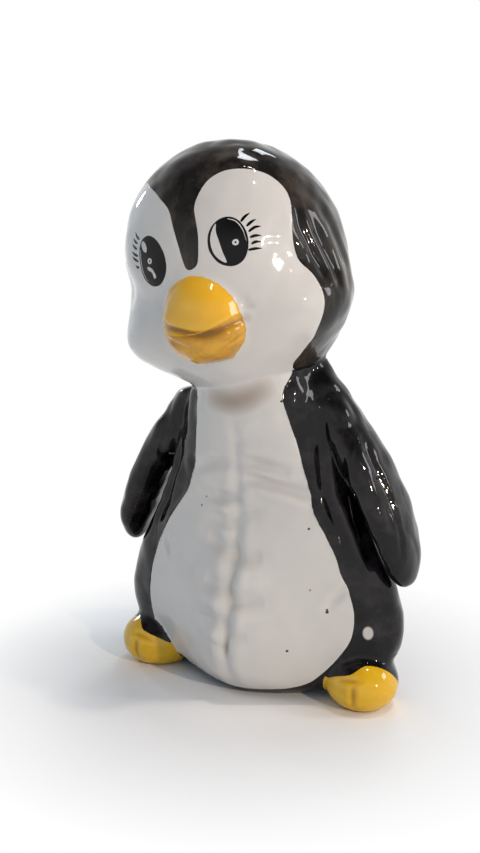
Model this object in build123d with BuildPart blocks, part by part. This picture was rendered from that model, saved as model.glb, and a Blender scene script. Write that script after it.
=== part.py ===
from build123d import *
import os
from math import acos, cos, degrees, exp, pi, radians, sin, tan

# A glazed slip-cast penguin figurine, modelled to look like a stuffed toy.
# It stands on the XY plane and faces -Y, so its own left side is +X. Lengths are millimetres.

# Stance
axis_setback = 4.0
neck_height = 134.0
head_tilt = 15.5
head_turn = 7.0

# Clay wall, and the depth of a glaze field let into it
wall = 4.5
field_depth = 1.6

# Torso
hip_half_width = 64.2
flank_front = 25.0
torso_back = 35.0
belly_puff = 17.0
belly_half_width = 30.0
ring_steps = 20
# Shares of the neck height, the hip's half width, the flank, the back and the belly's puff
torso_ring_shares = (
    (0.000, 0.370, 0.36, 0.55, 0.44),
    (0.020, 0.550, 0.41, 0.72, 0.58),
    (0.055, 0.735, 0.48, 0.86, 0.76),
    (0.115, 0.900, 0.56, 0.96, 0.94),
    (0.230, 1.000, 0.64, 1.00, 0.97),
    (0.350, 0.955, 0.68, 1.00, 0.78),
    (0.480, 0.835, 0.72, 1.00, 0.38),
    (0.600, 0.710, 0.78, 0.97, 0.10),
    (0.720, 0.610, 0.85, 0.91, 0.00),
    (0.840, 0.537, 0.92, 0.84, 0.00),
    (0.930, 0.480, 0.98, 0.76, 0.00),
    (1.000, 0.405, 1.00, 0.71, 0.00),
    (1.090, 0.357, 0.92, 0.63, 0.00),
)
drain_radius = 11.0

# Corners of the white belly field, from the throat down to its foot: shares of the hip's half width
# and the neck height, and the rounding as a share of that width
belly_corner_shares = (
    (0.325, 1.120, 0.00),
    (0.325, 0.790, 0.92),
    (0.770, 0.365, 0.88),
    (0.770, 0.160, 0.36),
    (0.420, 0.036, 0.60),
    (0.000, 0.036, 0.00),
)
belly_start = 2.0

# Head
head_radius = 46.3
head_depth_share = 0.97
head_centre = 47.0
head_upper_height = 49.0
neck_radius = 26.0
cheek_puff = 9.0
cheek_azimuth = 62.0
cheek_azimuth_spread = 34.0
cheek_latitude = -27.0
cheek_latitude_spread = 14.0
head_latitudes = (-75, -66, -56, -45, -34, -23, -12, 0, 14, 28, 42, 56, 68, 78, 85)

# Corners of the white face field, from the foot of the brow stripe over one lobe and cheek to the
# throat: shares of the head's radius and height, and the rounding as a share of its radius
face_corner_shares = (
    (0.000, 0.482, 0.000),
    (0.076, 0.482, 0.065),
    (0.108, 0.667, 0.860),
    (0.173, 0.848, 0.260),
    (0.545, 0.856, 0.280),
    (0.795, 0.700, 0.380),
    (0.795, 0.510, 0.430),
    (0.769, 0.438, 0.190),
    (0.915, 0.362, 0.200),
    (0.915, 0.203, 0.227),
    (0.659, 0.073, 0.345),
    (0.432, 0.031, 0.130),
    (0.421, -0.083, 0.000),
)
face_start = 2.0

# Painted eyes
eye_out = 16.4
eye_height = 54.0
eye_half_width = 7.2
eye_half_height = 9.6
eye_line = 0.8
iris_half_width = 5.6
iris_shift = 1.5
glint_half_width = 1.2
glint_half_height = 1.4
glint_up = 0.2
glint_shifts = (2.9, -1.3)
lash_count = 6
lash_length = 5.4
lash_width = 0.9
lash_gap = 0.3
lash_first_angle = 46.0
lash_step = 15.0
lash_turn_share = 0.6

# Bill
bill_out = -1.2
bill_half_width = 16.3
bill_half_height = 17.5
bill_height = 28.5
bill_start = 34.0
bill_length = 19.5
mouth_drop = 5.0
mouth_rise = 10.0
mouth_reach_share = 1.4
# Half outline of the bill's widest ring, from the top round to the foot: width and height shares
bill_outline_shares = ((0.48, 0.86), (0.88, 0.40), (1.00, -0.14), (0.80, -0.68), (0.42, -0.95))
# Length and size shares, from inside the head to the nose
bill_ring_shares = ((0.00, 1.00), (0.43, 0.98), (0.65, 0.88), (0.84, 0.66), (0.955, 0.36))

# Wings
wing_root_out = 22.3
wing_root_height = 140.0
wing_tip_out = 66.3
wing_tip_height = 51.6
wing_half_width = 16.0
wing_half_thickness = 7.8
wing_setback = 3.8
wing_bow = 4.6
# How far the bow gathers towards the tip, as a power of the length share
wing_bow_skew = 1.56
# Length, width and thickness shares, from the shoulder to the tip
wing_ring_shares = (
    (0.00, 0.32, 0.58),
    (0.07, 0.44, 0.74),
    (0.13, 0.55, 0.86),
    (0.21, 0.68, 0.90),
    (0.37, 0.87, 1.00),
    (0.56, 0.98, 1.00),
    (0.72, 1.00, 0.94),
    (0.85, 0.87, 0.82),
    (0.945, 0.58, 0.62),
    (0.986, 0.30, 0.36),
)

# Legs and toe caps
foot_out = 48.5
foot_forward = 2.0
foot_height = 10.0
foot_half_width = 15.5
foot_half_height = 13.0
foot_heel_length = 11.0
foot_length = 29.0
foot_splay = 40.0
toe_start = 1.0
toe_lean = 38.0
# Length, width and height shares, from the heel inside the torso to the toe
foot_ring_shares = (
    (0.00, 0.80, 0.80),
    (0.20, 0.96, 0.96),
    (0.38, 1.00, 1.00),
    (0.56, 0.95, 0.95),
    (0.73, 0.82, 0.82),
    (0.87, 0.61, 0.61),
    (0.96, 0.35, 0.35),
)

reach_out = head_radius * 2


def bell(value):
    """Smooth bump that is 1 at zero and fades to both sides."""
    return exp(-value * value)


def torso_ring(row, inset):
    """Points of the torso's outline at one height, pulled in by inset."""
    _, width_share, front_share, back_share, belly_share = row
    half_width = hip_half_width * width_share - inset
    points = []
    for step in range(ring_steps):
        angle = radians(360 * step / ring_steps)
        x = half_width * sin(angle)
        depth = torso_back * back_share - inset
        if cos(angle) < 0:
            belly = belly_puff * belly_share * bell(x / belly_half_width)
            depth = flank_front * front_share + belly - inset
        points.append((x, depth * cos(angle)))
    return points


def torso_form(inset=0):
    """Closed form of the torso, pulled in all round by inset. It rises past the neck joint."""
    with BuildPart() as form:
        for row in torso_ring_shares:
            height = inset + (neck_height - inset) * row[0]
            with BuildSketch(Plane((0, axis_setback, height))):
                with BuildLine():
                    Spline(*torso_ring(row, inset), periodic=True)
                make_face()
        loft()
    return form.part


def head_ring(latitude, inset):
    """Points of the head's outline at one latitude, with the cheeks swelling out at both sides."""
    radius = (head_radius - inset) * cos(radians(latitude))
    points = []
    for step in range(ring_steps):
        azimuth = 360 * step / ring_steps
        from_front = abs(180 - azimuth)
        cheek = bell((from_front - cheek_azimuth) / cheek_azimuth_spread)
        cheek *= bell((latitude - cheek_latitude) / cheek_latitude_spread)
        reach = radius + cheek_puff * cheek
        points.append(
            (reach * sin(radians(azimuth)), reach * head_depth_share * cos(radians(azimuth)))
        )
    return points


# The neck joint, square to the tilted and turned head: X across the face, Z up through the crown
neck_plane = Plane((0, axis_setback, neck_height)).rotated((0, -head_tilt, head_turn))
# Upright plane through the head's middle that looks out of the face: X across, Y up the head
face_plane = Plane(neck_plane.origin, x_dir=neck_plane.x_dir, z_dir=-neck_plane.y_dir)
belly_plane = Plane((0, axis_setback, 0), x_dir=(1, 0, 0), z_dir=(0, -1, 0))
head_height = head_centre + head_upper_height
head_lower_height = head_centre / sin(acos(neck_radius / head_radius))


def head_form(inset=0):
    """Closed form of the head, pulled in all round by inset. It reaches down past the neck joint."""
    rings = []
    for latitude in head_latitudes:
        half_height = head_upper_height if latitude > 0 else head_lower_height
        height = head_centre + (half_height - inset) * sin(radians(latitude))
        with BuildSketch(neck_plane.offset(height)) as ring:
            with BuildLine():
                Spline(*head_ring(latitude, inset), periodic=True)
            make_face()
        rings.append(ring.sketch)
    crown = Vertex(*neck_plane.offset(head_height - inset).origin)
    with BuildPart() as form:
        loft(sections=[*rings, crown])
    return form.part


def round_nosed_form(
    plane, length, half_width, half_thickness, ring_shares, setback=0, bow=0, skew=1
):
    """Closed form along a plane's normal through ellipses, ending in a round nose."""
    rings = []
    for length_share, width_share, thickness_share in ring_shares:
        with BuildSketch(plane.offset(length * length_share)) as ring:
            with Locations((setback, bow * sin(pi * length_share**skew))):
                Ellipse(half_width * width_share, half_thickness * thickness_share)
        rings.append(ring.sketch)
    nose = plane.offset(length).from_local_coords(Vector(setback, 0, 0))
    with BuildPart() as form:
        loft(sections=[*rings, Vertex(*nose)])
    return form.part


torso_outer = torso_form()
head_outer = head_form()
pieces = []

# White belly field, cut as deep as the glaze field and open to the front
belly_corners = [(hip_half_width * w, neck_height * h) for w, h, _ in belly_corner_shares]
belly_rounding = [hip_half_width * r for _, _, r in belly_corner_shares[1:-1]]
with BuildPart() as belly_tool:
    with BuildSketch(belly_plane.offset(belly_start)):
        with BuildLine():
            side = FilletPolyline(*belly_corners, radius=belly_rounding)
            other = mirror(side, about=Plane.YZ)
            Line(side @ 0, other @ 0)
        make_face()
    extrude(amount=reach_out)
    add(torso_form(field_depth), mode=Mode.SUBTRACT)

# Torso: the hollow black casting, with the hole in its floor that the slip was poured out of
with BuildPart() as torso:
    add(torso_outer)
    add(torso_form(wall), mode=Mode.SUBTRACT)
    add(belly_tool.part, mode=Mode.SUBTRACT)
    split(bisect_by=neck_plane, keep=Keep.BOTTOM)
    with BuildSketch(Plane((0, axis_setback, 0))):
        Circle(drain_radius)
    extrude(amount=wall * 2, mode=Mode.SUBTRACT)
torso.part.label = "torso"
pieces.append(torso.part)

with BuildPart() as belly_panel:
    add(torso_outer)
    add(belly_tool.part, mode=Mode.INTERSECT)
    split(bisect_by=neck_plane, keep=Keep.BOTTOM)
belly_panel.part.label = "belly_panel"
pieces.append(belly_panel.part)

# White face field: two brow lobes on either side of a black stripe, and the cheeks
face_corners = [(head_radius * w, head_height * h) for w, h, _ in face_corner_shares]
face_rounding = [head_radius * r for _, _, r in face_corner_shares[1:-1]]
with BuildPart() as face_tool:
    with BuildSketch(face_plane.offset(face_start)):
        with BuildLine():
            side = FilletPolyline(*face_corners, radius=face_rounding)
            other = mirror(side, about=Plane.YZ)
            Line(side @ 1, other @ 1)
        make_face()
    extrude(amount=reach_out)
    add(head_form(field_depth), mode=Mode.SUBTRACT)

with BuildPart() as head:
    add(head_outer)
    add(head_form(wall), mode=Mode.SUBTRACT)
    add(face_tool.part, mode=Mode.SUBTRACT)
    split(bisect_by=neck_plane, keep=Keep.TOP)
head.part.label = "head"
pieces.append(head.part)

with BuildPart() as whole_face:
    add(head_outer)
    add(face_tool.part, mode=Mode.INTERSECT)
    split(bisect_by=neck_plane, keep=Keep.TOP)


def eye_column(side, half_width, half_height, shift=0, lift=0):
    """Elliptical column out through the face, centred on one eye or shifted from its centre."""
    with BuildPart() as column:
        with BuildSketch(face_plane):
            with Locations((side * eye_out + shift, eye_height + lift)):
                Ellipse(half_width, half_height)
        extrude(amount=reach_out)
    return column.part


def lash_columns(side):
    """Columns out through the face for the short strokes that fan out beside one eye."""
    with BuildPart() as columns:
        with BuildSketch(face_plane):
            for count in range(lash_count):
                angle = radians(lash_first_angle - lash_step * count)
                turn = angle * lash_turn_share
                reach = lash_gap + lash_length / 2
                x = side * (eye_out + eye_half_width * cos(angle) + reach * cos(turn))
                y = eye_height + eye_half_height * sin(angle) + reach * sin(turn)
                with Locations(Location((x, y), side * degrees(turn))):
                    SlotOverall(lash_length, lash_width)
        extrude(amount=reach_out)
    return columns.part


# Painted eyes, let into the white face. Both irises are set toward the figure's own left.
eye_tools = []
for side, name, glint_shift in ((1, "left", glint_shifts[0]), (-1, "right", glint_shifts[1])):
    whole_eye = eye_column(side, eye_half_width, eye_half_height)
    ball = eye_column(side, eye_half_width - eye_line, eye_half_height - eye_line)
    iris_tool = eye_column(side, iris_half_width, eye_half_height, iris_shift)
    glint_tool = eye_column(side, glint_half_width, glint_half_height, glint_shift, glint_up)
    lash_tool = lash_columns(side)
    eye_tools += [whole_eye, lash_tool]

    with BuildPart() as eye_white:
        add(whole_face.part)
        add(ball, mode=Mode.INTERSECT)
        add(iris_tool, mode=Mode.SUBTRACT)
    eye_white.part.label = f"{name}_eye_white"

    with BuildPart() as iris:
        add(whole_face.part)
        add(whole_eye, mode=Mode.INTERSECT)
        add(eye_white.part, mode=Mode.SUBTRACT)
        add(glint_tool, mode=Mode.SUBTRACT)
    iris.part.label = f"{name}_iris"

    with BuildPart() as glint:
        add(whole_face.part)
        add(glint_tool, mode=Mode.INTERSECT)
    glint.part.label = f"{name}_glint"

    with BuildPart() as lashes:
        add(whole_face.part)
        add(lash_tool, mode=Mode.INTERSECT)
    lashes.part.label = f"{name}_lashes"
    pieces += [eye_white.part, iris.part, glint.part, lashes.part]

with BuildPart() as face_panel:
    add(whole_face.part)
    for tool in eye_tools:
        add(tool, mode=Mode.SUBTRACT)
face_panel.part.label = "face_panel"
pieces.append(face_panel.part)

# Bill: one swelling form, glazed as an upper and a lower half that meet at the mouth
bill_middle = face_plane.from_local_coords(Vector(bill_out, bill_height, 0))
bill_axis = Plane(bill_middle, x_dir=face_plane.x_dir, z_dir=face_plane.z_dir)
bill_plane = bill_axis.offset(bill_start)
bill_rings = []
for length_share, size_share in bill_ring_shares:
    half_width = bill_half_width * size_share
    half_height = bill_half_height * size_share
    half = [(half_width * w, half_height * h) for w, h in bill_outline_shares]
    with BuildSketch(bill_plane.offset(bill_length * length_share)) as ring:
        with BuildLine():
            right = Spline((0, half_height), *half, (0, -half_height), tangents=[(1, 0), (-1, 0)])
            mirror(right, about=Plane.YZ)
        make_face()
    bill_rings.append(ring.sketch)
nose = bill_plane.offset(bill_length).from_local_coords(Vector(0, -mouth_drop / 2, 0))
mouth_reach = bill_half_width * mouth_reach_share
with BuildPart() as above_mouth:
    with BuildSketch(bill_axis):
        with BuildLine():
            smile = ThreePointArc(
                (-mouth_reach, mouth_rise - mouth_drop),
                (0, -mouth_drop),
                (mouth_reach, mouth_rise - mouth_drop),
            )
            Polyline(smile @ 1, (mouth_reach, head_height), (-mouth_reach, head_height), smile @ 0)
        make_face()
    extrude(amount=reach_out)

with BuildPart() as bill:
    loft(sections=[*bill_rings, Vertex(*nose)])
    add(head_outer, mode=Mode.SUBTRACT)

with BuildPart() as upper_bill:
    add(bill.part)
    add(above_mouth.part, mode=Mode.INTERSECT)
upper_bill.part.label = "upper_bill"

with BuildPart() as lower_bill:
    add(bill.part)
    add(above_mouth.part, mode=Mode.SUBTRACT)
lower_bill.part.label = "lower_bill"
pieces += [upper_bill.part, lower_bill.part]

# Wings: flat padded flippers that leave the shoulders and bow outwards
wing_spread = wing_tip_out - wing_root_out
wing_drop = wing_root_height - wing_tip_height
wing_length = (wing_spread**2 + wing_drop**2) ** 0.5
for side, name in ((1, "left"), (-1, "right")):
    shoulder = (side * wing_root_out, axis_setback, wing_root_height)
    wing_plane = Plane(shoulder, x_dir=(0, 1, 0), z_dir=(side * wing_spread, 0, -wing_drop))
    flipper = round_nosed_form(
        wing_plane, wing_length, wing_half_width, wing_half_thickness,
        wing_ring_shares, wing_setback, side * wing_bow, wing_bow_skew,
    )
    with BuildPart() as wing:
        add(flipper)
        add(torso_outer, mode=Mode.SUBTRACT)
        split(bisect_by=neck_plane, keep=Keep.BOTTOM)
    wing.part.label = f"{name}_wing"
    pieces.append(wing.part)

# Feet: round forms splayed outwards, flat on the floor, and parted where the toe cap starts
splay = radians(foot_splay)
for side, name in ((1, "left"), (-1, "right")):
    forward = Vector(side * sin(splay), -cos(splay), 0)
    across = Vector(cos(splay), side * sin(splay), 0)
    middle = Vector(side * foot_out, axis_setback - foot_forward, foot_height)
    heel_plane = Plane(middle - forward * foot_heel_length, x_dir=across, z_dir=forward)
    cap_facing = forward - Vector(0, 0, tan(radians(toe_lean)))
    cap_plane = Plane(middle + forward * toe_start, x_dir=across, z_dir=cap_facing)
    round_foot = round_nosed_form(
        heel_plane, foot_length, foot_half_width, foot_half_height, foot_ring_shares
    )
    with BuildPart() as foot:
        add(round_foot)
        split(bisect_by=Plane.XY, keep=Keep.TOP)
        add(torso_outer, mode=Mode.SUBTRACT)

    with BuildPart() as toe_cap:
        add(foot.part)
        split(bisect_by=cap_plane, keep=Keep.TOP)
    toe_cap.part.label = f"{name}_toe_cap"

    with BuildPart() as leg:
        add(foot.part)
        split(bisect_by=cap_plane, keep=Keep.BOTTOM)
    leg.part.label = f"{name}_leg"
    pieces += [toe_cap.part, leg.part]

os.makedirs("parts", exist_ok=True)
for piece in pieces:
    print(piece.label, piece.is_valid, len(piece.solids()), round(piece.volume))
    export_step(piece, f"parts/{piece.label}.step")
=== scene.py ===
import logging
import math
from dataclasses import dataclass, field, replace
from enum import Enum
from typing import Iterable, Sequence

import bpy
import numpy as np
from mathutils import Matrix, Vector
from mathutils.bvhtree import BVHTree


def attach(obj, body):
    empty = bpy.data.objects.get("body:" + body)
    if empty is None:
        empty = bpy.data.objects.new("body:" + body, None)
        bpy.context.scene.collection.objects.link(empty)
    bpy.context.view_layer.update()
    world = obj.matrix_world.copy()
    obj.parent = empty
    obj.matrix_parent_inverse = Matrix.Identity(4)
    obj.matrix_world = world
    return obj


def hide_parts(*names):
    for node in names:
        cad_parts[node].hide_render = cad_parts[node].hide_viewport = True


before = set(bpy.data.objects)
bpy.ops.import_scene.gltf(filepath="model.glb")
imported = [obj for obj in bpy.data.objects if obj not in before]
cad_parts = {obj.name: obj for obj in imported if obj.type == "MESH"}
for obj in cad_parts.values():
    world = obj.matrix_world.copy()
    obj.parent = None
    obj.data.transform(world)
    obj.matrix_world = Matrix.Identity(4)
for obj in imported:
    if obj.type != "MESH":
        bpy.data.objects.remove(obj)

log = logging.getLogger("penguin")
MM = 0.001
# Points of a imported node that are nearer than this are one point, in millimetres
WELD = 0.02
# How tall a cutting prism is, and from how far out a mark's path is laid on the skin, in millimetres
REACH = 90.0
# How far a smoothing step moves each point towards the middle of its neighbours
SMOOTHING = 0.5
# The least length, squared, that a stretch of a mark's path counts as
LEAST_RUN = 1e-9
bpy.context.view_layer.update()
Path = Sequence[tuple[float, float]]


class Cut(Enum):
    """The ways in which one closed mesh cuts another."""

    KEEP_INSIDE = "INTERSECT"
    TAKE_AWAY = "DIFFERENCE"


class Side(Enum):
    """The figure's own left and right, as the sign of X."""

    LEFT = 1
    RIGHT = -1

    @property
    def word(self) -> str:
        """The side's name in a node's name."""
        return self.name.lower()


def deselect_all() -> None:
    """Leaves nothing selected."""
    bpy.ops.object.select_all(action="DESELECT")


def make_active(piece: bpy.types.Object) -> None:
    """Selects one object alone and makes it active.

    Args:
        piece: The object.
    """
    deselect_all()
    piece.select_set(True)
    bpy.context.view_layer.objects.active = piece


def apply_modifier(piece: bpy.types.Object, kind: str, **settings: object) -> None:
    """Adds one modifier and applies it.

    Args:
        piece: The mesh object.
        kind: The modifier's type name.
        **settings: The modifier's settings.
    """
    make_active(piece)
    modifier = piece.modifiers.new(kind.lower(), kind)
    for name, value in settings.items():
        setattr(modifier, name, value)
    bpy.ops.object.modifier_apply(modifier=modifier.name)


def cut(piece: bpy.types.Object, tool: bpy.types.Object, how: Cut) -> None:
    """Cuts a closed mesh with another one, which stays as it is.

    Args:
        piece: The mesh that changes.
        tool: The mesh that cuts.
        how: The kind of cut.
    """
    apply_modifier(piece, "BOOLEAN", object=tool, operation=how.value, solver="MANIFOLD")


def duplicate(piece: bpy.types.Object, name: str) -> bpy.types.Object:
    """Copies an object with a mesh of its own.

    Args:
        piece: The object to copy.
        name: The copy's name.

    Returns:
        The copy, with no parent and no custom properties.
    """
    copy = bpy.data.objects.new(name, piece.data.copy())
    bpy.context.scene.collection.objects.link(copy)
    return copy


def delete(*pieces: bpy.types.Object) -> None:
    """Deletes helper objects that nothing needs any more."""
    for piece in pieces:
        bpy.data.objects.remove(piece, do_unlink=True)


def join(name: str, pieces: Sequence[bpy.types.Object]) -> bpy.types.Object:
    """Joins objects into one.

    Args:
        name: The joined object's name.
        pieces: The objects, which become one.

    Returns:
        The joined object.
    """
    deselect_all()
    for piece in pieces:
        piece.select_set(True)
    bpy.context.view_layer.objects.active = pieces[0]
    if len(pieces) > 1:
        bpy.ops.object.join()
    joined = bpy.context.view_layer.objects.active
    joined.name = name
    return joined


def copy_nodes(name: str, nodes: Iterable[str]) -> bpy.types.Object:
    """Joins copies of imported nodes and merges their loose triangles.

    Args:
        name: The copy's name.
        nodes: The nodes' names.

    Returns:
        One mesh object.
    """
    copy = join(name, [duplicate(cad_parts[node], f"{name}_{node}") for node in nodes])
    bpy.ops.object.mode_set(mode="EDIT")
    bpy.ops.mesh.select_all(action="SELECT")
    bpy.ops.mesh.remove_doubles(threshold=WELD * MM)
    bpy.ops.object.mode_set(mode="OBJECT")
    return copy


def swell(piece: bpy.types.Object, voxel: float, amount: float, smooth_steps: int = 0) -> None:
    """Remeshes a closed form evenly and moves its whole surface out, or in.

    Args:
        piece: The mesh object.
        voxel: The grid's step, in millimetres.
        amount: How far the surface moves outwards, in millimetres.
        smooth_steps: How often its points are evened out.
    """
    apply_modifier(piece, "REMESH", mode="VOXEL", voxel_size=voxel * MM)
    if smooth_steps:
        apply_modifier(piece, "SMOOTH", factor=SMOOTHING, iterations=smooth_steps)
    apply_modifier(piece, "DISPLACE", mid_level=0.0, strength=amount * MM)


def rows_of(piece: bpy.types.Object, value: str) -> np.ndarray:
    """Reads one value of every point of a mesh.

    Args:
        piece: The mesh object.
        value: The value's name, such as co for the place.

    Returns:
        One row of three numbers per point.
    """
    flat = np.zeros(len(piece.data.vertices) * 3)
    piece.data.vertices.foreach_get(value, flat)
    return flat.reshape(-1, 3)


def points_of(piece: bpy.types.Object) -> np.ndarray:
    """Reads a mesh's points, one row per point, in millimetres."""
    return rows_of(piece, "co") / MM


def normals_of(piece: bpy.types.Object) -> np.ndarray:
    """Reads a mesh's point normals, one row per point."""
    return rows_of(piece, "normal")


def faces_of(piece: bpy.types.Object) -> BVHTree:
    """Builds a search tree of a mesh's faces."""
    return BVHTree.FromObject(piece, bpy.context.evaluated_depsgraph_get())


def place_points(piece: bpy.types.Object, points: np.ndarray) -> None:
    """Moves a mesh's points to new places, in millimetres."""
    piece.data.vertices.foreach_set("co", (points * MM).ravel())
    piece.data.update()


def seen_in(points: np.ndarray, place: Matrix) -> tuple[np.ndarray, np.ndarray, np.ndarray]:
    """Works out where points lie in a frame.

    Args:
        points: The points, in millimetres.
        place: The frame, in metres.

    Returns:
        How far each point lies across, up and out of the frame's origin, in millimetres.
    """
    rows = np.column_stack([points * MM, np.ones(len(points))])
    across, up, out, _ = (rows @ np.array(place.inverted()).T / MM).T
    return across, up, out


@dataclass(frozen=True)
class Stance:
    """Places of the head and body, in millimetres and degrees."""

    axis_setback: float = 4.0
    neck_height: float = 134.0
    head_tilt: float = 15.5
    head_turn: float = 7.0
    foot_out: float = 48.5
    foot_forward: float = 2.0
    foot_height: float = 10.0
    foot_splay: float = 40.0

    def body_frame(self, azimuth: float = 0.0) -> Matrix:
        """Upright frame seen from one side: X across, Y up and Z towards the viewer, in metres.

        Args:
            azimuth: The side, in degrees from the front towards the figure's own left.

        Returns:
            The frame.
        """
        upright = Matrix.Rotation(math.radians(90), 4, "X")
        turn = Matrix.Rotation(math.radians(azimuth), 4, "Z")
        return Matrix.Translation((0, self.axis_setback * MM, 0)) @ turn @ upright

    def face_frame(self) -> Matrix:
        """Frame of the face: X across, Y up the head and Z out of the face.

        Returns:
            The frame, in metres.
        """
        tilt = Matrix.Rotation(math.radians(-self.head_tilt), 4, "Y")
        turn = Matrix.Rotation(math.radians(self.head_turn), 4, "Z")
        upright = Matrix.Rotation(math.radians(90), 4, "X")
        origin = Matrix.Translation((0, self.axis_setback * MM, self.neck_height * MM))
        return origin @ tilt @ turn @ upright

    def toe_frame(self, side: Side) -> Matrix:
        """Frame of one toe cap, seen from in front and above: X across, Z out of the glazed edge.

        Args:
            side: The foot's side.

        Returns:
            The frame, in metres.
        """
        splay = math.radians(self.foot_splay) * side.value
        forward = Vector((math.sin(splay), -math.cos(splay), 0))
        across = Vector((math.cos(splay), math.sin(splay), 0))
        out = (forward + Vector((0, 0, 1))).normalized()
        up = out.cross(across)
        place = Vector((side.value * self.foot_out, self.axis_setback - self.foot_forward, self.foot_height))
        axes = Matrix((across, up, out)).transposed().to_4x4()
        return Matrix.Translation(place * MM) @ axes


STANCE = Stance()


def smooth_path(corners: Path, steps: int = 6, closed: bool = False) -> np.ndarray:
    """Draws a smooth curve through chosen points.

    Args:
        corners: The points.
        steps: How many pieces each stretch is divided into.
        closed: Whether the curve comes back to its start.

    Returns:
        One row per point of the curve.
    """
    points = np.array(corners, float)
    if closed:
        points = np.vstack([points[-1], points, points[:2]])
    else:
        points = np.vstack([2 * points[0] - points[1], points, 2 * points[-1] - points[-2]])
    drawn = []
    for before, start, end, after in zip(points, points[1:], points[2:], points[3:]):
        for share in np.arange(steps) / steps:
            bend = 2 * before - 5 * start + 4 * end - after
            twist = 3 * start - before - 3 * end + after
            lean = end - before
            drawn.append(start + (lean + (bend + twist * share) * share) * share / 2)
    if not closed:
        drawn.append(points[-2])
    return np.array(drawn)


def circle(centre: tuple[float, float], radius: float, count: int) -> np.ndarray:
    """Points of a circle.

    Args:
        centre: Its middle.
        radius: Its radius.
        count: How many points.

    Returns:
        One row per point.
    """
    turn = np.linspace(0, 2 * math.pi, count, endpoint=False)
    return np.array(centre) + radius * np.column_stack([np.cos(turn), np.sin(turn)])


def brush_stroke(path: Path, width: float, blunt: float = 0.55, tip: float = 0.02) -> np.ndarray:
    """Outline of one stroke of a loaded brush, full where it lands and drawn out to a point.

    Args:
        path: Points along the stroke's middle.
        width: Its greatest width.
        blunt: Its width at the start, as a share of the greatest.
        tip: How much is left of the width at its end, so that it isn't quite a point.

    Returns:
        One row per point of the closed outline.
    """
    middle = smooth_path(path, steps=5)
    share = np.linspace(0, 1, len(middle))
    half = width / 2 * (blunt + (1 - blunt) * np.sin(share * math.pi)) * np.sqrt(1 + tip - share**2)
    along = np.gradient(middle, axis=0)
    across = np.column_stack([-along[:, 1], along[:, 0]])
    across /= np.linalg.norm(across, axis=1)[:, None]
    return np.vstack([middle + across * half[:, None], (middle - across * half[:, None])[::-1]])


def column(name: str, outline: np.ndarray, place: Matrix, start: float = 2.0) -> bpy.types.Object:
    """Builds a closed prism that stands out of the figure over a flat outline.

    Args:
        name: The prism's name.
        outline: The outline's points in the frame's X and Y, in millimetres.
        place: The frame, whose Z the prism follows.
        start: Where the prism starts along Z, in millimetres.

    Returns:
        The prism.
    """
    deselect_all()
    bpy.ops.mesh.primitive_circle_add(vertices=len(outline), radius=MM, fill_type="NGON")
    prism = bpy.context.view_layer.objects.active
    prism.name = name
    place_points(prism, np.column_stack([outline, np.full(len(outline), start)]))
    bpy.ops.object.mode_set(mode="EDIT")
    bpy.ops.mesh.select_all(action="SELECT")
    bpy.ops.mesh.extrude_region_move(TRANSFORM_OT_translate={"value": (0, 0, REACH * MM)})
    bpy.ops.mesh.select_all(action="SELECT")
    bpy.ops.mesh.quads_convert_to_tris()
    bpy.ops.mesh.normals_make_consistent(inside=False)
    bpy.ops.object.mode_set(mode="OBJECT")
    prism.data.transform(place)
    return prism


def columns(name: str, outlines: Sequence[np.ndarray], place: Matrix) -> bpy.types.Object:
    """Builds several prisms as one tool."""
    return join(name, [column(f"{name}_{count}", outline, place) for count, outline in enumerate(outlines)])


def take(
    stock: bpy.types.Object, tool: bpy.types.Object, name: str, floor: bpy.types.Object | None = None
) -> bpy.types.Object:
    """Parts the stock along a tool. What lies in the tool becomes a new piece.

    Args:
        stock: The closed mesh that is cut and keeps the rest.
        tool: The closed form that the new piece lies in.
        name: The new piece's name.
        floor: A closed form that the new piece doesn't reach into.

    Returns:
        The new piece.
    """
    cutter = duplicate(tool, "cutter")
    if floor is not None:
        cut(cutter, floor, Cut.TAKE_AWAY)
    piece = duplicate(stock, name)
    cut(piece, cutter, Cut.KEEP_INSIDE)
    cut(stock, cutter, Cut.TAKE_AWAY)
    delete(cutter)
    return piece


def loose_parts(piece: bpy.types.Object) -> list[bpy.types.Object]:
    """Separates a mesh into its loose parts.

    Args:
        piece: The mesh object.

    Returns:
        The parts as objects, the one with the widest reach first.
    """
    make_active(piece)
    bpy.ops.object.mode_set(mode="EDIT")
    bpy.ops.mesh.select_all(action="SELECT")
    bpy.ops.mesh.separate(type="LOOSE")
    bpy.ops.object.mode_set(mode="OBJECT")
    return sorted(bpy.context.selected_objects, key=lambda part: -part.dimensions.length)


def keep_outer(piece: bpy.types.Object) -> bpy.types.Object:
    """Keeps only a form's outer surface, so that it becomes solid.

    Args:
        piece: The closed form, which may hold hollows.

    Returns:
        The solid form.
    """
    outer, *inner = loose_parts(piece)
    delete(*inner)
    return outer


def drop_crumbs(piece: bpy.types.Object, fewest_faces: int = 24) -> bpy.types.Object:
    """Deletes the crumbs that a cut may leave beside a piece.

    Args:
        piece: The piece.
        fewest_faces: How many faces a part has that isn't a crumb.

    Returns:
        The piece without them.
    """
    parts = loose_parts(piece)
    large = [part for part in parts if len(part.data.polygons) >= fewest_faces]
    delete(*(part for part in parts if part not in large))
    return join(piece.name, large)


def borrow_normals(piece: bpy.types.Object, skin: bpy.types.Object, reach: float = 0.1) -> None:
    """Gives a piece the skin's smooth shading wherever it still lies on it, so no cut line shows.

    Args:
        piece: A piece that was cut from the skin.
        skin: The whole skin.
        reach: How near the skin counts as on it, in millimetres.
    """
    apply_modifier(
        piece,
        "DATA_TRANSFER",
        object=skin,
        use_loop_data=True,
        data_types_loops={"CUSTOM_NORMAL"},
        loop_mapping="POLYINTERP_NEAREST",
        use_max_distance=True,
        max_distance=reach * MM,
    )


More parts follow.
